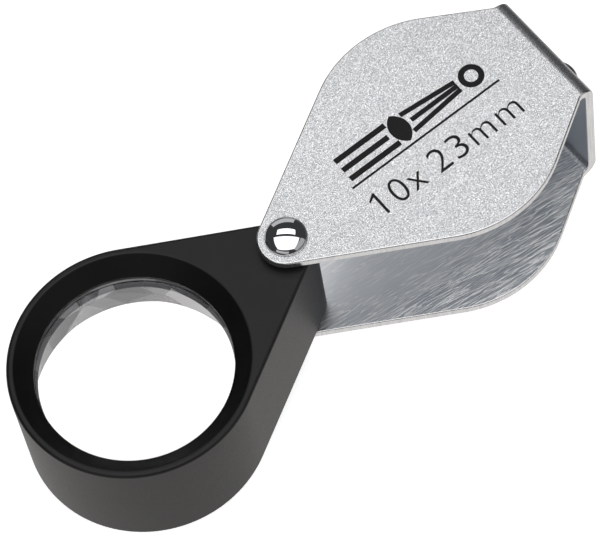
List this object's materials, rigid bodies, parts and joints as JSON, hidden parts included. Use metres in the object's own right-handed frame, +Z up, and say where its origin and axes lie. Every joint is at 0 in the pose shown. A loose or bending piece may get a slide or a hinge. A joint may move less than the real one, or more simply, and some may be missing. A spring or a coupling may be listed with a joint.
{
  "type": "viewing loupe",
  "caption": "Pocket folding magnifier: a round lens in a black teardrop holder swings on a domed rivet out of a bent satin metal cover.",
  "frame": {"origin": "midway along the opened length, on the centre line, level with the lowest point of the lower rivet head", "axes": "+X from the rivet to the cover's closed end, +Z up out of the front plate, along the rivet and the lens axis; the lens holder is opened straight out towards -X"},
  "size_m": [0.0789, 0.029, 0.0224],
  "materials": {
    "satin_cover": "bead-blasted satin outside, brushed inside",
    "black_anodised": "matte black anodised",
    "lens_glass": "polished clear",
    "bare_aluminium": "fine turned",
    "polished_steel": "mirror polished",
    "spring_steel": "rolled",
    "nylon": "smooth natural",
    "printed_ink": "thin black print"
  },
  "bodies": {
    "cover_body": {"cover": "satin_cover", "rivet_post": "polished_steel", "rivet_cap": "polished_steel", "upper_washer": "nylon", "wave_washer": "spring_steel", "lanyard_loop": "polished_steel"},
    "holder_body": {"lens_holder": "black_anodised", "eye_lens": "lens_glass", "lens_spacer": "bare_aluminium", "field_lens": "lens_glass", "retaining_ring": "black_anodised"}
  },
  "joints": [
    {"name": "holder_pivot", "type": "hinge", "parent": "cover_body", "child": "holder_body", "pos_m": [-0.00267, 0, 0.0112], "axis": [0, 0, 1], "continuous": true}
  ]
}
